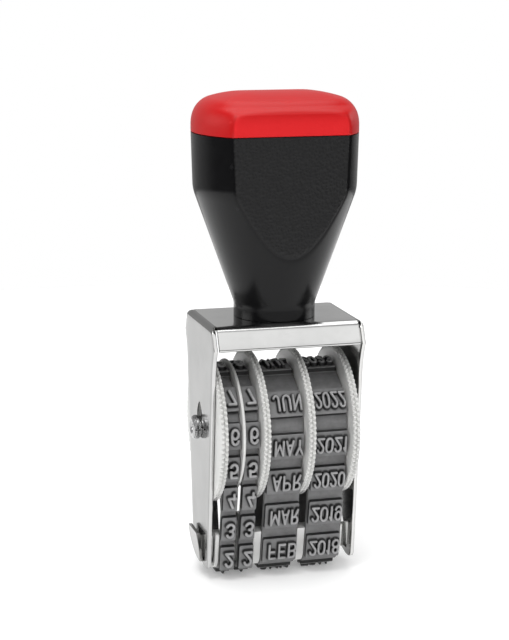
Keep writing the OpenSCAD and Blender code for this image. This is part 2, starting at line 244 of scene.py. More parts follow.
def worn_edges(tree, share, low, high):
    """Share of wear on convex edges, from 0 up to the share given."""
    pointiness = tree.nodes.new("ShaderNodeNewGeometry").outputs["Pointiness"]
    return spread(tree, pointiness, 0.0, share, low, high)


def new_material(name, metallic=0.0):
    """Empty material with its node tree, its shader and the object's coordinates."""
    material = bpy.data.materials.new(name)
    material.use_nodes = True
    tree = material.node_tree
    shader = tree.nodes["Principled BSDF"]
    shader.inputs["Metallic"].default_value = metallic
    shader.inputs["IOR"].default_value = 1.5
    coords = tree.nodes.new("ShaderNodeTexCoord").outputs["Object"]
    return material, tree, shader, coords


def plastic(name, colour, tint, edge, rough, grain, grain_size, flat=None, shine=0.5):
    """Moulded plastic: mottled colour, uneven gloss, a fine grain, and rubbed edges. flat gives the colour,
    roughness range, grain depth and grain size of faces that carry the flat attribute."""
    material, tree, shader, coords = new_material(name)
    shader.inputs["Specular IOR Level"].default_value = shine
    broad = noise(tree, coords, 90.0, 4.0)
    fine = noise(tree, coords, 2200.0, 2.0)
    body = mixed(tree, spread(tree, broad, 0.0, 1.0, 0.35, 0.65), colour, tint)
    gloss = spread(tree, broad, rough[0], rough[1])
    normal = bumped(tree, fine, 0.000012, 0.5)
    normal = bumped(tree, noise(tree, coords, 1 / (grain_size * MM), 3.0, 0.6), grain * MM, 1.0, normal)
    if flat:
        flat_colour, flat_rough, flat_grain, flat_size = flat
        mask = node_of(tree, "ShaderNodeAttribute")
        mask.attribute_name = "flat"
        share = mask.outputs["Fac"]
        body = mixed(tree, share, body, flat_colour)
        matt = node_of(tree, "ShaderNodeMix")
        tree.links.new(share, matt.inputs[0])
        tree.links.new(gloss, matt.inputs[2])
        tree.links.new(spread(tree, broad, flat_rough[0], flat_rough[1]), matt.inputs[3])
        gloss = matt.outputs[0]
        cells = node_of(tree, "ShaderNodeTexVoronoi", Scale=1 / (flat_size * MM))
        tree.links.new(coords, cells.inputs["Vector"])
        height = joined(tree, "MULTIPLY", cells.outputs["Distance"], share)
        normal = bumped(tree, height, flat_grain * MM, 1.0, normal)
    tree.links.new(mixed(tree, worn_edges(tree, 0.8, 0.54, 0.62), body, edge), shader.inputs["Base Color"])
    tree.links.new(gloss, shader.inputs["Roughness"])
    tree.links.new(normal, shader.inputs["Normal"])
    return material


def metal(name, colour, tint, edge, rough, brushed=(1.0, 1.0, 1.0), scratch=0.000004):
    """Plated or bare metal: faint drawing lines, smudges in the gloss, and polished edges."""
    material, tree, shader, coords = new_material(name, metallic=1.0)
    smudge = noise(tree, coords, 130.0, 5.0, 0.6)
    lines = noise(tree, coords, 900.0, 4.0, 0.6, brushed)
    body = mixed(tree, spread(tree, smudge, 0.0, 1.0, 0.35, 0.65), colour, tint)
    tree.links.new(mixed(tree, worn_edges(tree, 1.0, 0.53, 0.6), body, edge), shader.inputs["Base Color"])
    tree.links.new(spread(tree, smudge, rough[0], rough[1]), shader.inputs["Roughness"])
    tree.links.new(bumped(tree, lines, scratch, 0.6), shader.inputs["Normal"])
    return material


def rubber(name, web, side, plinth, face):
    """Grey moulded rubber. The rise attribute runs from 0 on the web over the plinth's side and top to 1 on
    the type's face: the ramp paints shade on the sides and a painted highlight on the type's faces and the
    plinth's upper edge."""
    material, tree, shader, coords = new_material(name)
    broad = noise(tree, coords, 420.0, 5.0, 0.65)
    fine = noise(tree, coords, 3500.0, 3.0, 0.6)
    mask = node_of(tree, "ShaderNodeAttribute")
    mask.attribute_name = "rise"
    ramp = node_of(tree, "ShaderNodeValToRGB")
    tree.links.new(mask.outputs["Fac"], ramp.inputs[0])
    # The ramp paints light and shade: the dark side stops are painted shade, the face stops on the type and
    # at the plinth's upper edge a painted highlight.
    stops = [(0.0, web), (0.1, side), (0.38, side), (0.44, face), (0.49, plinth), (0.52, plinth), (0.6, side),
             (0.82, side), (0.93, face)]
    for k, (at, colour) in enumerate(stops):
        stop = ramp.color_ramp.elements[k] if k < 2 else ramp.color_ramp.elements.new(at)
        stop.position = at
        stop.color = (colour, colour, colour * 1.01, 1)
    body = node_of(tree, "ShaderNodeMix")
    body.data_type = "RGBA"
    body.blend_type = "MULTIPLY"
    body.inputs[0].default_value = 1.0
    tree.links.new(ramp.outputs[0], body.inputs[6])
    patches = spread(tree, broad, 0.0, 1.0, 0.36, 0.66)
    tree.links.new(mixed(tree, patches, (0.82, 0.82, 0.82), (1.12, 1.12, 1.12)), body.inputs[7])
    worn = worn_edges(tree, 0.55, 0.53, 0.66)
    tree.links.new(mixed(tree, worn, body.outputs[2], (0.24, 0.24, 0.24)), shader.inputs["Base Color"])
    tree.links.new(spread(tree, broad, 0.42, 0.6), shader.inputs["Roughness"])
    tree.links.new(bumped(tree, fine, 0.00002, 0.6), shader.inputs["Normal"])
    return material


# One nickel plating in two copies: the darker one is painted shade on the side plates and the leaves, the
# brighter one a painted highlight on the top plate and the plates' front and back edges.
NICKEL_SHADED = metal("nickel_sheet", (0.28, 0.28, 0.276), (0.25, 0.25, 0.246), (0.42, 0.42, 0.41), (0.12, 0.19),
               (1.0, 1.0, 0.05))
NICKEL_LIT = metal("nickel_painted_highlight", (0.6, 0.6, 0.595), (0.55, 0.55, 0.545), (0.7, 0.7, 0.69), (0.10, 0.17),
                   (0.05, 1.0, 1.0))
STEEL = metal("axle_steel", (0.44, 0.44, 0.44), (0.36, 0.36, 0.37), (0.7, 0.7, 0.7), (0.16, 0.28))
ZINC = metal("zinc_steel", (0.55, 0.56, 0.58), (0.45, 0.47, 0.50), (0.75, 0.75, 0.76), (0.3, 0.45))
BRASS = metal("brass_insert", (0.72, 0.50, 0.20), (0.62, 0.42, 0.17), (0.85, 0.65, 0.35), (0.25, 0.4))
BLACK = plastic("black_plastic", (0.003, 0.003, 0.0035), (0.005, 0.005, 0.0055), (0.012, 0.012, 0.013),
                (0.2, 0.27), 0.006, 0.5, ((0.016, 0.016, 0.0165), (0.46, 0.54), 0.22, 0.75), 0.22)
RED = plastic("red_plastic", (0.55, 0.003, 0.004), (0.59, 0.005, 0.006), (0.66, 0.02, 0.02),
              (0.36, 0.44), 0.006, 0.4, ((0.84, 0.016, 0.02), (0.46, 0.52), 0.03, 0.5), 0.28)
WHITE = plastic("white_plastic", (0.78, 0.78, 0.765), (0.72, 0.72, 0.705), (0.86, 0.86, 0.85),
                (0.38, 0.5), 0.008, 0.6)
# side is painted shade on the sides of plinths and type; face is a painted highlight on the type's faces.
RUBBER = rubber("band_rubber", web=0.19, side=0.014, plinth=0.21, face=0.38)


# ---------------------------------------------------------------------- handle

def blend(value, limit, power):
    """The smaller of two depths, with a rounded corner between them that sharpens with the power."""
    ratio = value / limit
    return limit * ratio / (1 + ratio ** power) ** (1 / power)


def section(z, half_w, half_round, half_flat, power=64, groove=0.0, steps=480):
    """Ring at height z: an ellipse cut by flats, with a small rounding where they meet and a groove of the
    given depth along it. It returns the ring's points and how much each lies on a flat, from 0 to 1."""
    groove_at, groove_w, flat_edge = 0.1, 0.28, 0.35
    points, flat = [], []
    for i in range(steps):
        t = 2 * math.pi * (i + 0.5) / steps
        y = half_round * abs(math.sin(t))
        depth = blend(y, half_flat, power) - groove * math.exp(-((y - half_flat - groove_at) / groove_w) ** 2)
        points.append((half_w * math.cos(t), math.copysign(depth, math.sin(t)), z))
        flat.append(min(max((y - half_flat) / flat_edge, 0.0), 1.0))
    return points, flat


def inset_section(z, inset):
    """Section of the handle at its full size, drawn inwards all round."""
    return section(z, ROUND_W - inset, ROUND_D - inset, HALF_D - inset)


def add_skin(bm, layer, rings):
    """Skin through rings made by section(), which keeps the share of each point on a flat."""
    rows = add_rings(bm, [points for points, _ in rings])
    for row, (_, flat) in zip(rows, rings):
        for vert, share in zip(row, flat):
            vert[layer] = share


def toward(p, q, h):
    """Point on the line from p towards q whose height is h from p."""
    share = h / abs(q[0] - p[0])
    return p[0] + (q[0] - p[0]) * share, p[1] + (q[1] - p[1]) * share


def round_corner(a, b, c, reach, steps=12):
    """Curve that rounds the corner b between a and c, over the height reach on either side."""
    start, end = toward(b, a, reach), toward(b, c, reach)
    out = []
    for k in range(steps + 1):
        t = k / steps
        out.append(tuple((1 - t) ** 2 * start[i] + 2 * t * (1 - t) * b[i] + t * t * end[i] for i in (0, 1)))
    return out


def handle_outline(gap=0.3):
    """Height and size of the handle's sections, at most gap apart, from the neck's foot to the seam."""
    foot, seam = (FRAME_TOP + 0.1, NECK_TOP[1]), (SEAM_Z, 1.0)
    corners = [foot] + round_corner(foot, NECK_TOP, SHOULDER, 0.7)
    corners += round_corner(NECK_TOP, SHOULDER, seam, 1.4)
    corners += [toward(seam, SHOULDER, SEAM_EDGE_H), seam]
    out = [foot]
    for p, q in zip(corners, corners[1:]):
        steps = math.ceil((q[0] - p[0]) / gap)
        out += [toward(p, q, (q[0] - p[0]) * k / steps) for k in range(1, steps + 1)]
    return out


def roll_point(a):
    """Height and inset of the cap's round sides at the angle a of its roll."""
    return ROLL_LOW + ROLL_H * math.sin(a) ** 0.83, ROLL_IN * (1 - math.cos(a) ** 1.25)


def cap_sections(roll_steps=60, crown_steps=36):
    """Sections of the cap, up the roll and over the crown: height, inset of its sides and of its flats."""
    points = [(SEAM_Z + 0.12, 0.0)]
    points += [roll_point(ROLL_TURN * k / roll_steps) for k in range(roll_steps + 1)]
    z_end, inset_end = points[-1]
    for k in range(1, crown_steps + 1):
        t = k / crown_steps
        points.append((STAMP_H - (STAMP_H - z_end) * (1 - t) ** 2, inset_end + (CROWN_IN - inset_end) * t))
    return [(z, inset, max(0.0, inset - FLAT_LAG * (1 - min(1.0, inset / ROLL_IN) ** 2)))
            for z, inset in points]


def build_handle():
    """Hollow black handle, open at the top, and the red cap whose plug sits in it."""
    bm = bmesh.new()
    layer = bm.verts.layers.float.new("flat")
    chamfer = 0.485
    rings = [section(FRAME_TOP, ROUND_W * chamfer, ROUND_D * chamfer, HALF_D)]
    for z, size in handle_outline():
        edge = SEAM_EDGE * max(0.0, 1 - (SEAM_Z - z) / SEAM_EDGE_H)
        half_w, half_round = ROUND_W * size - edge, ROUND_D * size - edge
        rings.append(section(z - edge, half_w, half_round, HALF_D - edge, groove=0.16))
    rings += [inset_section(SEAM_Z - drop, HANDLE_WALL) for drop in (SEAM_EDGE, 5.5)]
    add_skin(bm, layer, rings)
    make_piece("handle_body", bm, [BLACK], "root", ["handle_shell"])

    bm = bmesh.new()
    layer = bm.verts.layers.float.new("flat")
    plug = HANDLE_WALL + 0.2
    plug_and_ledge = ((-3.8, plug), (0.02, plug), (0.02, 0.12))
    rings = [inset_section(SEAM_Z + rise, inset) for rise, inset in plug_and_ledge]
    for z, inset, flat_inset in cap_sections():
        roll = min(inset / 2, 1.0)
        sharpness, groove = 4 + 46 * (1 - roll) ** 3, 0.08 * (1 - roll)
        points, flat = section(z, ROUND_W - inset, ROUND_D - inset, HALF_D - flat_inset, sharpness, groove)
        rings.append((points, [share * max(0.0, 1 - 2.2 * roll) for share in flat]))
    add_skin(bm, layer, rings)
    make_piece("handle_cap_red", bm, [RED], "root", ["handle_cap"])


# ----------------------------------------------------------------------- frame

def lip_half_depth(z):
    """Half depth of the frame's outline between the lips' lower edge and the top."""
    fold_z = FRAME_TOP - LIP_R + LIP_R * math.cos(LIP_FOLD)
    if z < fold_z:
        return TOP_HALF_D + LIP_R * math.sin(LIP_FOLD) + (fold_z - z) / math.tan(LIP_FOLD)
    c = min(max((z - FRAME_TOP + LIP_R) / LIP_R, -1), 1)
    return TOP_HALF_D + LIP_R * math.sqrt(1 - c * c)


def front_edge(z):
    """Front edge of a side plate at height z: round toe, straight taper, flare and lip."""
    if z < FOOT_Z + TOE_R:
        dz = FOOT_Z + TOE_R - z
        return -(FOOT_HALF_D - TOE_R + math.sqrt(max(TOE_R ** 2 - dz ** 2, 0)))
    if z < WAIST_Z:
        return -(FOOT_HALF_D + (WAIST - FOOT_HALF_D) * (z - FOOT_Z - TOE_R) / (WAIST_Z - FOOT_Z - TOE_R))
    if z < LIP_Z:
        u = (z - WAIST_Z) / (LIP_Z - WAIST_Z)
        return -(WAIST + (LIP_HALF_D - WAIST) * u * u)
    return -lip_half_depth(z)


def back_edge(z):
    """Back edge of a side plate at height z: like the front, but with a larger round heel."""
    heel_z = FOOT_Z + HEEL_LIFT
    if z < heel_z:
        return TOE_END + (FOOT_HALF_D - HEEL_R - TOE_END) * (z - FOOT_Z) / HEEL_LIFT
    if z < heel_z + HEEL_R:
        dz = heel_z + HEEL_R - z
        return FOOT_HALF_D - HEEL_R + math.sqrt(max(HEEL_R ** 2 - dz ** 2, 0))
    if z < WAIST_Z:
        return FOOT_HALF_D + (WAIST - FOOT_HALF_D) * (z - heel_z - HEEL_R) / (WAIST_Z - heel_z - HEEL_R)
    return -front_edge(z)


def sheet_ring(y0, y1, place, soft=0.25, columns=14):
    """Section across the sheet from y0 to y1. place(y, depth) gives a point at a depth under the outside."""
    def across(i):
        return y0 + soft + (y1 - y0 - 2 * soft) * i / columns

    ring = [place(across(i), 0.0) for i in range(columns + 1)]
    for a in (22.5, 45, 67.5, 90):
        r = math.radians(a)
        ring.append(place(y1 - soft + soft * math.sin(r), soft - soft * math.cos(r)))
    for a in (0, 30, 60, 90):
        r = math.radians(a)
        ring.append(place(y1 - soft + soft * math.cos(r), SHEET_T - soft + soft * math.sin(r)))
    ring += [place(across(i), SHEET_T) for i in range(columns - 1, 0, -1)]
    for a in (90, 60, 30, 0):
        r = math.radians(a)
        ring.append(place(y0 + soft - soft * math.cos(r), SHEET_T - soft + soft * math.sin(r)))
    for a in (90, 67.5, 45, 22.5):
        r = math.radians(a)
        ring.append(place(y0 + soft - soft * math.sin(r), soft - soft * math.cos(r)))
    return ring


def side_plate(side):
    """Side plate and its rounded bend into the top plate, as one strip of sheet."""
    rings = []
    zs = [FOOT_Z + rise for rise in (0, 0.08, 0.2, 0.4, 0.7, 1, 1.3, 1.9)] + [5.3, 6, 7, 8, 9, 9.8, 12]
    zs += [14 + 2.0 * i for i in range(16)] + [WAIST_Z + i for i in range(13)]
    for z in zs:
        at_foot = z == FOOT_Z

        def place(y, depth, z=z):
            return (side * (HALF_W - depth), y, z)

        start = front_edge(z) + (0.2 if at_foot else 0)
        rings.append(sheet_ring(start, back_edge(z), place, 0.02 if at_foot else 0.25))
    for i in range(9):
        a = math.radians(90 * i / 8)
        z = FRAME_TOP - BEND_R + BEND_R * math.sin(a)

        def place(y, depth, a=a):
            r = BEND_R - depth
            return (side * (HALF_W - BEND_R + r * math.cos(a)), y, FRAME_TOP - BEND_R + r * math.sin(a))

        rings.append(sheet_ring(front_edge(z), back_edge(z), place))
    return rings


def cut(piece, cutters):
    """Cuts closed bmesh solids out of a piece and keeps the result as its mesh."""
    for bm in cutters:
        bmesh.ops.recalc_face_normals(bm, faces=bm.faces)
        bmesh.ops.scale(bm, vec=(MM, MM, MM), verts=bm.verts)
        mesh = bpy.data.meshes.new("cutter")
        bm.to_mesh(mesh)
        bm.free()
        tool = bpy.data.objects.new("cutter", mesh)
        scene.collection.objects.link(tool)
        modifier = piece.modifiers.new("cut", "BOOLEAN")
        modifier.operation = "DIFFERENCE"
        modifier.solver = "EXACT"
        modifier.object = tool
        made = bpy.data.meshes.new_from_object(piece.evaluated_get(bpy.context.evaluated_depsgraph_get()))
        piece.modifiers.clear()
        old = piece.data
        piece.data = made
        bpy.data.meshes.remove(old)
        bpy.data.objects.remove(tool)
        bpy.data.meshes.remove(mesh)


def prism(points, x0, x1):
    """Closed solid from a (y, z) outline between x0 and x1."""
    bm = bmesh.new()
    add_rings(bm, [[(x, y, z) for y, z in points] for x in (x0, x1)])
    return bm


def lip_profile():
    """Closed (y, z) profile of the top plate and its two folded lips, with rounded free edges."""
    def edge_run(r):
        angles = [LIP_FOLD * i / 10 for i in range(11)]
        side = [(TOP_HALF_D + r * math.sin(a), FRAME_TOP - LIP_R + r * math.cos(a)) for a in angles]
        end = (TOP_HALF_D + r * math.sin(LIP_FOLD) + LIP_RUN * math.cos(LIP_FOLD),
               FRAME_TOP - LIP_R + r * math.cos(LIP_FOLD) - LIP_RUN * math.sin(LIP_FOLD))
        return side, end

    outer, outer_end = edge_run(LIP_R)
    inner, inner_end = edge_run(LIP_R - SHEET_T)
    down = Vector((math.cos(LIP_FOLD), -math.sin(LIP_FOLD)))
    mid = (Vector(outer_end) + Vector(inner_end)) / 2 - down * SHEET_T / 2
    across = (Vector(outer_end) - Vector(inner_end)) / 2
    hem = [tuple(mid + across * math.cos(a) + down * SHEET_T / 2 * math.sin(a))
           for a in [math.pi * i / 8 for i in range(9)]]
    half = outer + hem + inner[::-1]
    flat_out = [(TOP_HALF_D * t, FRAME_TOP) for t in (0.33, 0.66)]
    flat_in = [(TOP_HALF_D * t, FRAME_TOP - SHEET_T) for t in (0.66, 0.33)]
    right = [(0.0, FRAME_TOP)] + flat_out + half + flat_in + [(0.0, FRAME_TOP - SHEET_T)]
    return right + [(-y, z) for y, z in reversed(right[1:-1])]


def axle_hole_outline():
    """Closed (y, z) outline of the hole for the axle: round below, with a drop-shaped top."""
    r = AXLE_R + 0.03
    round_part = [(r * math.sin(a), AXLE_Z + r * math.cos(a))
                  for a in [math.radians(45 + 270 * i / 24) for i in range(25)]]
    drop = [(2.4, 1.9), (2.35, 3.0), (1.9, 4.1), (1.1, 5.2), (0.45, 5.75)]
    return (round_part + [(-y, AXLE_Z + z) for y, z in drop] + [(0.0, AXLE_Z + 5.9)]
            + [(y, AXLE_Z + z) for y, z in reversed(drop)])


def shade_again(piece, sharp=35):
    """Smooth shading with sharp edges, for a mesh that was cut."""
    piece.data.shade_smooth()
    piece.data.set_sharp_from_angle(angle=math.radians(sharp))


def build_frame():
    """Two side plates with their holes, then the top plate with its two lips. The side plates get a darker
    copy of the nickel, which is painted shade; the top plate and the plates' narrow front and back edges get
    a brighter copy, which is a painted highlight."""
    bm = bmesh.new()
    for side in (-1, 1):
        add_rings(bm, side_plate(side))
    plates = make_piece("frame_plates", bm, [NICKEL_SHADED, NICKEL_LIT], "root", ["frame"])
    cutters = []
    slot_low, slot_high = CARRIER_LOW - 0.2, CARRIER_HIGH + 1.0
    slot = [(-4.3, slot_low), (-2.0, slot_low), (1.6, CARRIER_HIGH), (1.9, slot_high), (-4.9, slot_high),
            (-5.2, CARRIER_HIGH + 0.6)]
    for side in (-1, 1):
        cutters.append(prism(axle_hole_outline(), side * (PLATE_IN - 1), side * (HALF_W + 1)))
        cutters.append(prism(slot, side * (PLATE_IN - 1), side * (HALF_W + 1)))
    cut(plates, cutters)
    # Faces that look to the front or back, the plates' narrow edges, get the brighter nickel as a painted
    # highlight.
    for face in plates.data.polygons:
        face.material_index = 1 if abs(face.normal.y) > 0.5 else 0
    shade_again(plates)

    bm = bmesh.new()
    profile = lip_profile()
    reach = HALF_W - BEND_R
    add_rings(bm, [[(reach * share, y, z) for y, z in profile] for share in (-1, -0.6, -0.2, 0.2, 0.6, 1)])
    edges = [e for e in bm.edges if all(abs(abs(v.co.x) - reach) < 1e-6 and abs(v.co.y) > TOP_HALF_D + 0.3
                                        for v in e.verts)]
    bmesh.ops.bevel(bm, geom=edges, offset=0.2, segments=3, profile=0.5, affect="EDGES", clamp_overlap=True)
    top = make_piece("frame_top_plate", bm, [NICKEL_LIT], "root", [])
    hole = bmesh.new()
    bmesh.ops.create_cone(hole, cap_ends=True, segments=48, radius1=2.2, radius2=2.2, depth=4,
                          matrix=Matrix.Translation((0, 0, FRAME_TOP)))
    cut(top, [hole])
    shade_again(top)


# ---------------------------------------------------------------------- wheels

def rim_profile(x0, x1, outer):
    """Points over a disc's rim from its left face to its right face."""
    half = [(0, -0.25), (0.0, 0.0), (0.08, 0.0), (0.25, 0.0), (0.5, 0.0), (0.68, 0.0), (0.76, -0.1)]
    return [(x0 + x, outer + r) for x, r in half] + [(x1 - x, outer + r) for x, r in reversed(half)]


def plain_side(x):
    """Points up a disc's plain face, from the bore to below the rim."""
    return [(x, r) for r in (BORE_R, 4.0, 10.0) + FACE_R]


def recessed_side(x):
    """Points up a disc's face with a recess round the hub."""
    return [(x, BORE_R), (x, 2.6), (x + 2.2, 2.7), (x + 2.2, 6.4), (x + 0.1, 6.5), (x, 6.6), (x, 10.0)] + [
        (x, r) for r in FACE_R]


def drum_side(x, end):
    """Points from the bore at the drum's end, over the drum and up the face of the disc at x."""
    out = math.copysign(1, end - x)
    drum = [(end, BORE_R), (end, 4.0), (end, DRUM_R - 0.1), (end - out * 0.1, DRUM_R)]
    return drum + [(x + out * 0.2, DRUM_R), (x, DRUM_R + 0.2)] + [(x, r) for r in FACE_R]


def build_wheels():
    """Four thumbwheels, each a knurled disc with its drum, and the thin divider between the day bands. The
    first drum is on its disc's right and the others are on the left."""
    wheels = [
        ("wheel_day_tens", "tens_wheel", DIVIDER_X - SIDE_GAP),
        ("wheel_day_units", "units_wheel", DIVIDER_X + DIVIDER_T + SIDE_GAP),
        ("wheel_month", "month_wheel", DISC_X[1] + DISC_T + SIDE_GAP),
        ("wheel_year", "year_wheel", DISC_X[2] + DISC_T + SIDE_GAP),
    ]
    for k, (node, body, drum_end) in enumerate(wheels):
        x0, x1 = DISC_X[k], DISC_X[k] + DISC_T
        rim = rim_profile(x0, x1, DISC_R - RIM_BUMP)
        if k == 0:
            left, right = recessed_side(x0), drum_side(x1, drum_end)
        else:
            left, right = drum_side(x0, drum_end), plain_side(x1)
        start, half = len(left), len(RIM_LIFT)
        lifts = dict(enumerate(RIM_LIFT + RIM_LIFT[::-1], start))

        def knurl(i, a, middle=start + half, lifts=lifts):
            shift = 0.0 if i < middle else math.pi
            return RIM_BUMP * lifts.get(i, 0.0) * (0.5 + 0.5 * math.cos(TEETH * a + shift))

        bm = bmesh.new()
        revolve(bm, left + rim + right[::-1], TEETH * 10, knurl)
        make_piece(node + "_moulding", bm, [WHITE], body, [node], 50)

    bm = bmesh.new()
    x0, x1 = DIVIDER_X, DIVIDER_X + DIVIDER_T
    profile = [(x0, BORE_R), (x0, DIVIDER_R - 0.2)]
    profile += [(x0 + 0.3 - 0.3 * math.cos(a), DIVIDER_R - 0.3 + 0.3 * math.sin(a))
                for a in [math.radians(30 * i) for i in range(1, 6)]]
    profile += [(x1, DIVIDER_R - 0.2), (x1, BORE_R)]
    revolve(bm, profile, 256)
    make_piece("divider_moulding", bm, [WHITE], "divider", ["divider_disc"])


# ----------------------------------------------------------------------- bands

def half_path(s):
    """Middle of the web at distance s up the front half of the loop: (y, z, turn)."""
    if s < NOSE_FLAT:
        return (-s, NOSE_Z - WEB_T / 2, 0.0)
    s -= NOSE_FLAT
    r = NOSE_R + WEB_T / 2
    if s < CORNER_LEN:
        a = s / r
        return (-NOSE_FLAT - r * math.sin(a), CORNER_Z - r * math.cos(a), a)
    a = CORNER_LEN / r
    start = (-NOSE_FLAT - r * math.sin(a), CORNER_Z - r * math.cos(a))
    s -= CORNER_LEN
    if s < RUN_LEN:
        return (start[0] - s * math.sin(RUN_TILT), start[1] + s * math.cos(RUN_TILT), math.pi / 2 - RUN_TILT)
    s -= RUN_LEN
    r = BAND_IN_R + WEB_T / 2
    a = math.pi / 2 - RUN_TILT + s / r
    return (-r * math.sin(a), AXLE_Z - r * math.cos(a), a)


def band_path(s):
    """Middle of the web at distance s from the bottom centre towards the front: (y, z, turn)."""
    s %= 2 * HALF_LOOP
    if s <= HALF_LOOP:
        return half_path(s)
    y, z, a = half_path(2 * HALF_LOOP - s)
    return (-y, z, -a)


def on_band(s, x, height):
    """Point at distance s along the band and at a height off the middle of its web."""
    y, z, a = band_path(s)
    return (x, y - height * math.sin(a), z - height * math.cos(a))


def arc(cx, cy, rx, ry, start, end, steps=10):
    """Points on an ellipse's arc between two angles in degrees."""
    angles = [math.radians(start + (end - start) * i / steps) for i in range(steps + 1)]
    return [(cx + rx * math.cos(a), cy + ry * math.sin(a)) for a in angles]


def glyph(letter):
    """Strokes of a character in a box one wide and one high, drawn as polylines."""
    shapes = {
        "0": [arc(0.5, 0.68, 0.5, 0.32, 0, 180) + arc(0.5, 0.32, 0.5, 0.32, 180, 360) + [(1, 0.68)]],
        "1": [[(0.15, 0.78), (0.6, 1), (0.6, 0)]],
        "2": [arc(0.5, 0.72, 0.46, 0.28, 165, -25) + [(0.04, 0.0), (1, 0.0)]],
        "3": [arc(0.46, 0.75, 0.44, 0.25, 160, -90) + arc(0.46, 0.26, 0.5, 0.26, 90, -160)],
        "4": [[(0.76, 0), (0.76, 0.36)], [(0.6, 1), (0.02, 0.3), (1, 0.3)]],
        "5": [[(0.92, 1), (0.16, 1), (0.08, 0.55)] + arc(0.48, 0.32, 0.5, 0.32, 130, -155)],
        "6": [arc(0.5, 0.7, 0.46, 0.3, 15, 180) + [(0.04, 0.3)], arc(0.5, 0.31, 0.46, 0.31, 0, 360, 20)],
        "7": [[(0.0, 1), (1, 1), (0.36, 0)]],
        "8": [arc(0.5, 0.76, 0.42, 0.24, 0, 360, 18), arc(0.5, 0.27, 0.5, 0.27, 0, 360, 20)],
        "9": [arc(0.5, 0.3, 0.46, 0.3, 195, 360) + [(0.96, 0.7)], arc(0.5, 0.69, 0.46, 0.31, 0, 360, 20)],
        "A": [[(0, 0), (0.5, 1), (1, 0)], [(0.2, 0.3), (0.8, 0.3)]],
        "B": [[(0.06, 0), (0.06, 1), (0.5, 1)] + arc(0.55, 0.76, 0.36, 0.24, 90, -90) + [(0.06, 0.52)],
              [(0.5, 0.52)] + arc(0.58, 0.26, 0.4, 0.26, 90, -90) + [(0.06, 0)]],
        "C": [arc(0.5, 0.68, 0.48, 0.32, 15, 180) + arc(0.5, 0.32, 0.48, 0.32, 180, 345)],
        "D": [[(0.06, 0), (0.06, 1), (0.45, 1)] + arc(0.5, 0.66, 0.46, 0.34, 90, 0)
              + arc(0.5, 0.34, 0.46, 0.34, 0, -90) + [(0.06, 0)]],
        "E": [[(0.92, 1), (0.06, 1), (0.06, 0), (0.92, 0)], [(0.06, 0.52), (0.8, 0.52)]],
        "F": [[(0.92, 1), (0.06, 1), (0.06, 0)], [(0.06, 0.5), (0.8, 0.5)]],
        "G": [arc(0.5, 0.68, 0.48, 0.32, 15, 180) + arc(0.5, 0.32, 0.48, 0.32, 180, 360)
              + [(0.98, 0.48), (0.6, 0.48)]],
        "J": [[(0.85, 1), (0.85, 0.28)] + arc(0.45, 0.27, 0.4, 0.27, 0, -160)],
        "L": [[(0.06, 1), (0.06, 0), (0.92, 0)]],
        "M": [[(0, 0), (0, 1), (0.5, 0.25), (1, 1), (1, 0)]],
        "N": [[(0.04, 0), (0.04, 1), (0.96, 0), (0.96, 1)]],
        "O": [arc(0.5, 0.68, 0.48, 0.32, 0, 180) + arc(0.5, 0.32, 0.48, 0.32, 180, 360) + [(0.98, 0.68)]],
        "P": [[(0.06, 0), (0.06, 1), (0.5, 1)] + arc(0.58, 0.74, 0.38, 0.26, 90, -90) + [(0.06, 0.48)]],
        "R": [[(0.06, 0), (0.06, 1), (0.5, 1)] + arc(0.58, 0.75, 0.36, 0.25, 90, -90) + [(0.06, 0.5)],
              [(0.5, 0.5), (0.95, 0)]],
        "S": [arc(0.5, 0.75, 0.44, 0.25, 20, 270) + arc(0.5, 0.25, 0.46, 0.25, 90, -160)],
        "T": [[(0, 1), (1, 1)], [(0.5, 1), (0.5, 0)]],
        "U": [[(0.04, 1), (0.04, 0.32)] + arc(0.5, 0.32, 0.46, 0.32, 180, 360) + [(0.96, 1)]],
        "V": [[(0, 1), (0.5, 0), (1, 1)]],
        "Y": [[(0, 1), (0.5, 0.46), (1, 1)], [(0.5, 0.46), (0.5, 0)]],
    }
    return shapes[letter]


WIDTHS = {"1": 0.5, "M": 1.2, "J": 0.85, "E": 0.9, "F": 0.9, "L": 0.85}


def word_strokes(word, x0, x1, height, gap):
    """Segments of a word set between x0 and x1 on the plinth, as arrays of start and end points."""
    shares = [WIDTHS.get(c, 1.0) for c in word]
    unit = (x1 - x0 - gap * (len(word) - 1)) / sum(shares)
    starts, ends = [], []
    x = x0
    for c, share in zip(word, shares):
        for line in glyph(c):
            pts = [(x + px * share * unit, (py - 0.5) * height) for px, py in line]
            starts += pts[:-1]
            ends += pts[1:]
        x += share * unit + gap
    return np.array(starts), np.array(ends)


def stroke_distance(px, py, starts, ends):
    """Distance from each point to the nearest stroke."""
    p = np.stack([px, py], -1)[:, None, :]
    d = (ends - starts)[None]
    length = np.maximum((d ** 2).sum(-1), 1e-9)
    t = np.clip(((p - starts[None]) * d).sum(-1) / length, 0, 1)
    near = starts[None] + t[..., None] * d
    return np.sqrt(((p - near) ** 2).sum(-1)).min(1)


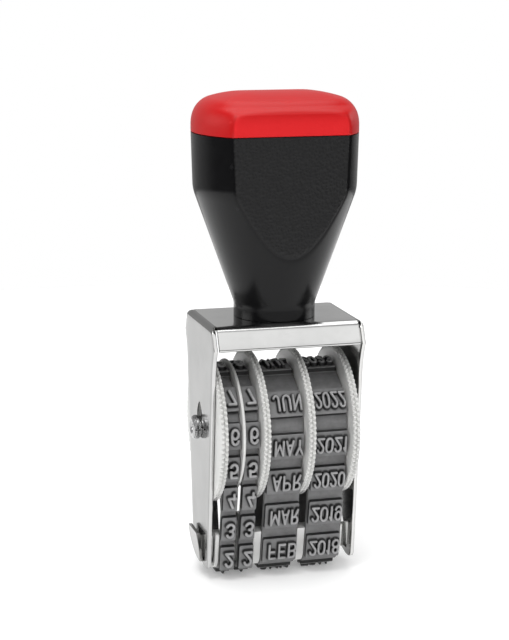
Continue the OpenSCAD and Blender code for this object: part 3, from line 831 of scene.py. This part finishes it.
def add_plinth(bm, layer, s, x_mid, width, length, strokes, top_w, base_w, cell=0.09):
    """Plinth at distance s with its raised character, as one closed solid. A stroke is top_w half wide at
    its face and base_w half wide at its foot."""
    y0, z0, turn = band_path(s)
    cols = max(int(round(width / cell)), 8)
    rows = max(int(round(length / cell)), 8)
    gx, gs = np.meshgrid(np.linspace(-width / 2, width / 2, cols + 1),
                         np.linspace(-length / 2, length / 2, rows + 1))
    px, ps = gx.ravel().copy(), gs.ravel().copy()
    # Round the plinth's corners in plan
    r = 0.25
    dx, ds = np.abs(px) - (width / 2 - r), np.abs(ps) - (length / 2 - r)
    far = (dx > 0) & (ds > 0) & (np.hypot(dx, ds) > r)
    k = r / np.maximum(np.hypot(dx, ds), 1e-9)
    px = np.where(far, np.sign(px) * (width / 2 - r + dx * k), px)
    ps = np.where(far, np.sign(ps) * (length / 2 - r + ds * k), ps)
    base = WEB_T / 2 + PLINTH_H
    rise = np.zeros(px.shape)
    painted_stroke_shade = np.zeros(px.shape)
    if strokes is not None:
        d = stroke_distance(px, -ps, *strokes)
        rise = np.clip((base_w - d) / (base_w - top_w), 0, 1) ** 0.6
        # The plinth's top is darkened close to the strokes, a painted shade round the type and in its
        # counters.
        painted_stroke_shade = 0.09 * np.clip(1 - (d - base_w) / 0.45, 0, 1)
    st, ct = math.sin(turn), math.cos(turn)

    def place(x, along, height):
        return (x_mid + x, y0 - along * ct - height * st, z0 + along * st - height * ct)

    grid = [bm.verts.new(place(*v)) for v in zip(px, ps, base + TYPE_H * rise)]
    for vert, share in zip(grid, np.maximum(0.5 + painted_stroke_shade, 0.5 + 0.5 * rise)):
        vert[layer] = share
    n = cols + 1
    for j in range(rows):
        for i in range(cols):
            a = j * n + i
            bm.faces.new((grid[a], grid[a + 1], grid[a + n + 1], grid[a + n]))
    border = list(range(n)) + [j * n + cols for j in range(1, rows + 1)]
    border += [rows * n + i for i in range(cols - 1, -1, -1)] + [j * n for j in range(rows - 1, 0, -1)]
    previous = [grid[b] for b in border]
    # Rings down the plinth's side and into the web: how far outwards, height, value of the rise attribute,
    # which sets painted shade on the side and a painted highlight at its upper edge
    skirt = ((0.04, base - 0.04, 0.48), (0.06, base - 0.12, 0.44), (0.07, base - 0.2, 0.3),
             (0.16, WEB_T / 2 + 0.12, 0.2), (0.24, WEB_T / 2 - 0.02, 0.02), (0.24, WEB_T / 2 - 0.25, 0.0))
    for grow, height, shade in skirt:
        ring = []
        for b in border:
            x, along = px[b], ps[b]
            cx = math.copysign(min(abs(x), width / 2 - r), x)
            cs = math.copysign(min(abs(along), length / 2 - r), along)
            ox, os = x - cx, along - cs
            d = math.hypot(ox, os) or 1.0
            vert = bm.verts.new(place(x + ox / d * min(grow, 0.14), along + os / d * grow, height))
            vert[layer] = shade
            ring.append(vert)
        for i in range(len(ring)):
            j = (i + 1) % len(ring)
            bm.faces.new((previous[i], previous[j], ring[j], ring[i]))
        previous = ring
    bm.faces.new(previous)


def add_web(bm, x0, w, pitch):
    """Endless web with rounded edges and fine moulded ridges across its outside."""
    half_t, soft, corner = WEB_T / 2, 0.2, 0.06
    ridge_h, ridges_per_place, steps = 0.05, 9, 520
    x1 = x0 + w
    outside = [(x0 + soft, half_t), (x0 + w / 2, half_t), (x1 - soft, half_t)]
    rest = [(x1 - corner, half_t - corner), (x1, half_t - soft), (x1, -half_t + soft),
            (x1 - corner, -half_t + corner), (x1 - soft, -half_t), (x0 + w / 2, -half_t),
            (x0 + soft, -half_t), (x0 + corner, -half_t + corner), (x0, -half_t + soft), (x0, half_t - soft),
            (x0 + corner, half_t - corner)]
    rings = []
    for i in range(steps):
        s = 2 * HALF_LOOP * i / steps
        ridge = ridge_h * max(0.0, math.cos(2 * math.pi * s * ridges_per_place / pitch)) ** 2
        rings.append([on_band(s, x, h + ridge) for x, h in outside] + [on_band(s, x, h) for x, h in rest])
    add_rings(bm, rings, closed_way=True)


def stretch(place, places):
    """Extra distance of a place where the rubber is drawn over the top of the wheel."""
    past = place - (places - 1) / 2
    return max(0.0, BAND_STRETCH - 0.6 * past) if past >= 0 else 0.0


def build_bands():
    """Four endless bands with a plinth at each place, numbered from under the nose up the front."""
    days = ["1", "2", "3", "4", "5", "6", "7", "8", "9", "0", "", "", "", "", ""]
    months = ["JAN", "FEB", "MAR", "APR", "MAY", "JUN", "JUL", "AUG", "SEP", "OCT", "NOV", "DEC", ""]
    years = [str(2017 + i) for i in range(WORD_PLACES)]
    # Node, words, span of a word across the band, height of the type, half widths of a stroke's face and
    # foot, gap between letters, and how much narrower than the band a plinth is
    bands = [
        ("band_day_tens", days, (-0.6, 1.0), 3.3, (0.21, 0.46), 0.0, 0.2),
        ("band_day_units", days, (-0.6, 1.0), 3.3, (0.21, 0.46), 0.0, 0.2),
        ("band_month", months, (-2.75, 3.55), 3.4, (0.17, 0.4), 0.75, 0.5),
        ("band_year", years, (-3.35, 3.55), 3.4, (0.17, 0.4), 0.62, 0.5),
    ]
    for x0, w, (node, words, span, type_h, stroke_w, gap, margin) in zip(BAND_X, BAND_W, bands):
        bm = bmesh.new()
        layer = bm.verts.layers.float.new("rise")
        pitch = 2 * HALF_LOOP / len(words)
        add_web(bm, x0, w, pitch)
        for i, word in enumerate(words):
            strokes = word_strokes(word, *span, type_h, gap) if word else None
            s = i * pitch + BAND_CREEP + stretch(i, len(words))
            add_plinth(bm, layer, s, x0 + w / 2, w - margin, PLINTH_L, strokes, *stroke_w)
        make_piece(node + "_rubber", bm, [RUBBER], "root", [node], 40)


# ----------------------------------------------------------------- small parts

def box(x0, x1, y0, y1, z0, z1):
    """Closed solid block between the given sides."""
    return prism([(y0, z0), (y1, z0), (y1, z1), (y0, z1)], x0, x1)


def build_axle_caps():
    """Turned caps on the axle's ends: fine rings, a dished end, two small windows and a slit."""
    # Two windows and the slit: from and to along the axle, inner y, lower and upper height off the axle
    openings = [(0.3, 0.78, -1.85, -0.3, 1.9), (1.2, 1.66, -1.85, -0.3, 1.9), (0.88, 1.06, -1.5, -3.0, 0.4)]
    profile = [(0.02, 1.8), (0.02, 2.1)]
    for i in range(6):
        at = 0.12 + 0.27 * i
        swell = 2.78 - 0.5 * ((at - 0.85) / 0.9) ** 2
        profile += [(at, swell), (at + 0.18, swell + 0.01), (at + 0.22, swell - 0.08)]
    profile += [(1.8, 2.25), (1.93, 1.9), (1.95, 1.6), (1.8, 1.3), (1.72, 1.1), (1.6, 0.92), (1.0, 0.9),
                (1.0, 1.8)]
    for side, name in ((-1, "axle_cap_left"), (1, "axle_cap_right")):
        x = side * HALF_W
        bm = bmesh.new()
        revolve(bm, [(x + side * px, pr) for px, pr in profile], 96)
        cap = make_piece(name + "_turned", bm, [STEEL], "root", [name], 40)
        cut(cap, [box(x + side * x0, x + side * x1, -3.2, y1, AXLE_Z + low, AXLE_Z + high)
                  for x0, x1, y1, low, high in openings])
        shade_again(cap, 40)


def nose_outline(height, top):
    """Points down one side of the nose, under it and up the other, at a height off the web's middle."""
    path = [band_path(-HALF_LOOP + 0.25 * i) for i in range(int(8 * HALF_LOOP))]
    points = [(y - height * math.sin(a), z - height * math.cos(a)) for y, z, a in path]
    return [(y, z) for y, z in points if z <= top]


def add_bar(bm, x0, x1, outline, top, back):
    """Bar from x0 to x1 with an outline that is kept below top at the back, and extra points to close it."""
    body = [(y, z) for y, z in outline if y < 0 or z < top]
    if body[0][0] > 0:
        body.reverse()
    add_rings(bm, [[(x, y, z) for y, z in body + back] for x in (x0, x1)])


def build_nose():
    """White bar inside the lower ends of the bands, with a fin beside each band."""
    bar_top, rib_top, fin_top = 8.0, CARRIER_HIGH + 0.3, 11.45
    rib_back = CARRIER_Y + SHEET_T + 0.8
    inside = -WEB_T / 2
    starts = [BAND_X[0] - SIDE_GAP - FIN_W] + [x + w + SIDE_GAP for x, w in zip(BAND_X, BAND_W)]
    ends = [x - SIDE_GAP for x in BAND_X] + [BAND_X[3] + BAND_W[3] + SIDE_GAP + FIN_W]
    left, right = starts[0], ends[-1]
    bm = bmesh.new()
    # The full bar on either side of the gap between the day bands, and a slimmer one through it
    for x0, x1 in ((left, BAND_X[0] + BAND_W[0] - 0.2), (BAND_X[1] + 0.2, right)):
        add_bar(bm, x0, x1, nose_outline(inside - SIDE_GAP, rib_top), bar_top,
                [(rib_back + 1.0, bar_top), (rib_back, bar_top + 0.4), (rib_back, rib_top)])
    add_bar(bm, left, right, nose_outline(inside - 2.2, bar_top), bar_top, [])
    for x0, x1 in zip(starts, ends):
        between_days = x1 == BAND_X[1] - SIDE_GAP
        if x1 == right:
            x1 = x0 + FIN_W / 2
        if between_days:
            outer, inner = nose_outline(inside - 2.0, bar_top), nose_outline(inside - 2.6, bar_top)
        else:
            outer, inner = nose_outline(inside + 0.9, fin_top), nose_outline(inside - 1.2, fin_top)
        add_rings(bm, [[(x, y, z) for y, z in outer + inner[::-1]] for x in (x0, x1)])
    make_piece("nose_fins", bm, [WHITE], "root", ["nose_bridge"])


def build_carrier():
    """Steel strip through the nose; each end comes out of its slot and is folded back as a leaf."""
    bm = bmesh.new()
    reach = HALF_W + 0.5
    back = CARRIER_Y + SHEET_T
    strip = ((CARRIER_Y, CARRIER_LOW), (back, CARRIER_LOW), (back, CARRIER_HIGH), (CARRIER_Y, CARRIER_HIGH))
    add_rings(bm, [[(x, y, z) for y, z in strip] for x in (-reach, reach)])
    leaf = [(-1.7, 10.1), (5.6, 10.15), (5.9, 9.8)]
    for degrees in range(8, 89, 8):
        a = math.radians(degrees)
        leaf.append((CARRIER_Y + 8.8 * math.cos(a) ** 0.9, 9.6 - 6.1 * math.sin(a) ** 1.15))
    leaf += [(CARRIER_Y, 3.6), (CARRIER_Y - 0.1, 4.4), (CARRIER_Y, 7.0)]
    mid_y, mid_z = 1.0, 7.5
    for side in (-1, 1):
        rings = []
        for depth, inset in ((0.0, 0.1), (0.1, 0.0), (0.7, 0.0), (0.8, 0.12)):
            ring = []
            for y, z in leaf:
                stand = 0.06 + 0.5 * min(max((z - 3.5) / 6.5, 0.0), 1.0)
                k = 1 - inset / max(math.hypot(y - mid_y, z - mid_z), 1.0)
                x = side * (HALF_W + stand + depth)
                ring.append((x, mid_y + (y - mid_y) * k, mid_z + (z - mid_z) * k))
            rings.append(ring)
        add_rings(bm, rings)
    # The leaves get the darker nickel, painted shade as on the side plates.
    make_piece("carrier_leaves", bm, [NICKEL_SHADED], "root", ["nose_carrier"])


def dress(node, material):
    """Gives a carried-over CAD node its material."""
    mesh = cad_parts[node].data
    mesh.materials.clear()
    mesh.materials.append(material)


# --------------------------------------------------------------- build it all

def build_camera():
    """Camera that sees the stamp from the photograph's side: front left and a little above."""
    azimuth, elevation, roll = math.radians(-15.98), math.radians(11.62), math.radians(0.21)
    back = Vector((math.sin(azimuth) * math.cos(elevation), -math.cos(azimuth) * math.cos(elevation),
                   math.sin(elevation)))
    right = (-back).cross(Vector((0, 0, 1))).normalized()
    up = right.cross(-back)
    turned = right * math.cos(roll) + up * math.sin(roll)
    upright = up * math.cos(roll) - right * math.sin(roll)
    data = bpy.data.cameras.new("camera")
    data.lens = 102.13
    data.sensor_width = 36
    data.shift_x = -0.02703
    data.shift_y = -0.00125
    data.clip_start = 0.01
    data.clip_end = 20
    camera = bpy.data.objects.new("camera", data)
    basis = Matrix((turned, upright, back)).transposed().to_4x4()
    aim, distance = Vector((0, 1.8, 58.45)) * MM, 414.8 * MM
    camera.matrix_world = Matrix.Translation(aim + back * distance) @ basis
    scene.collection.objects.link(camera)
    scene.camera = camera


def add_light(name, place, aim, width, height, power):
    """Soft rectangular light in metres and watts, turned towards a point."""
    data = bpy.data.lights.new(name, "AREA")
    data.shape = "RECTANGLE"
    data.size = width
    data.size_y = height
    data.energy = power
    light = bpy.data.objects.new(name, data)
    way = Vector(aim) - Vector(place)
    light.matrix_world = Matrix.Translation(Vector(place)) @ way.to_track_quat("-Z", "Y").to_matrix().to_4x4()
    scene.collection.objects.link(light)


def build_floor():
    """Round sheet of pale paper just under the stamp."""
    bm = bmesh.new()
    bmesh.ops.create_circle(bm, cap_ends=True, segments=96, radius=0.36)
    mesh = bpy.data.meshes.new("floor")
    bm.to_mesh(mesh)
    bm.free()
    material, tree, shader, coords = new_material("floor_paper")
    shade = noise(tree, coords, 3.0, 2.0)
    tree.links.new(mixed(tree, shade, (0.88, 0.88, 0.88), (0.9, 0.9, 0.9)), shader.inputs["Base Color"])
    shader.inputs["Roughness"].default_value = 0.9
    shader.inputs["Specular IOR Level"].default_value = 0.1
    shader.inputs["Emission Color"].default_value = (1, 1, 1, 1)
    shader.inputs["Emission Strength"].default_value = 0.22
    mesh.materials.append(material)
    floor = bpy.data.objects.new("floor", mesh)
    floor.location = (0, 0, -0.00005)
    scene.collection.objects.link(floor)


def build_room():
    """White studio that the camera sees as plain white. Reflections see it dark below and at the sides, with
    a white screen high in front and a bright patch straight overhead."""
    world = bpy.data.worlds.new("studio")
    scene.world = world
    world.use_nodes = True
    tree = world.node_tree
    background = tree.nodes["Background"]
    coords = tree.nodes.new("ShaderNodeTexCoord").outputs["Generated"]
    split = tree.nodes.new("ShaderNodeSeparateXYZ")
    tree.links.new(coords, split.inputs[0])
    behind = spread(tree, split.outputs["Y"], 0.04, 0.48, 0.3, 0.65)
    up = spread(tree, split.outputs["Z"], 0.1, 1.0, -0.3, -0.1)
    room = joined(tree, "MULTIPLY", behind, up)
    screen = joined(tree, "MULTIPLY", spread(tree, split.outputs["Y"], 1.0, 0.0, -0.6, -0.25),
                    spread(tree, split.outputs["Z"], 0.0, 1.25, 0.2, 0.42))
    room = joined(tree, "ADD", room, screen)
    room = joined(tree, "ADD", room, spread(tree, split.outputs["Z"], 0.0, 1.0, 0.88, 0.97))
    white = tree.nodes.new("ShaderNodeLightPath").outputs["Is Camera Ray"]
    node = tree.nodes.new("ShaderNodeMix")
    tree.links.new(white, node.inputs[0])
    tree.links.new(room, node.inputs[2])
    node.inputs[3].default_value = 1.0
    tree.links.new(node.outputs[0], background.inputs["Strength"])
    background.inputs["Color"].default_value = (1, 1, 1, 1)


def build_lights():
    """Key light from the front left, a wall on either side and a broad light overhead."""
    add_light("key", (-0.35, -0.42, 1.0), (0, 0, 0.05), 0.5, 0.4, 4.2)
    add_light("left_wall", (-0.8, 0.2, 0.3), (0, 0, 0.06), 0.5, 0.35, 1.3)
    add_light("right_wall", (0.85, 0.2, 0.33), (0, 0, 0.06), 0.5, 0.35, 1.2)
    add_light("overhead", (0.1, 0.2, 1.0), (0, 0, 0.02), 0.8, 0.8, 3.9)


scene.view_settings.view_transform = "Standard"
build_camera()
build_floor()
build_room()
build_lights()
build_handle()
build_frame()
build_wheels()
build_bands()
build_axle_caps()
build_nose()
build_carrier()
dress("axle", STEEL)
dress("friction_washer", ZINC)
dress("handle_screw", ZINC)
dress("handle_washer", ZINC)
dress("handle_insert", BRASS)
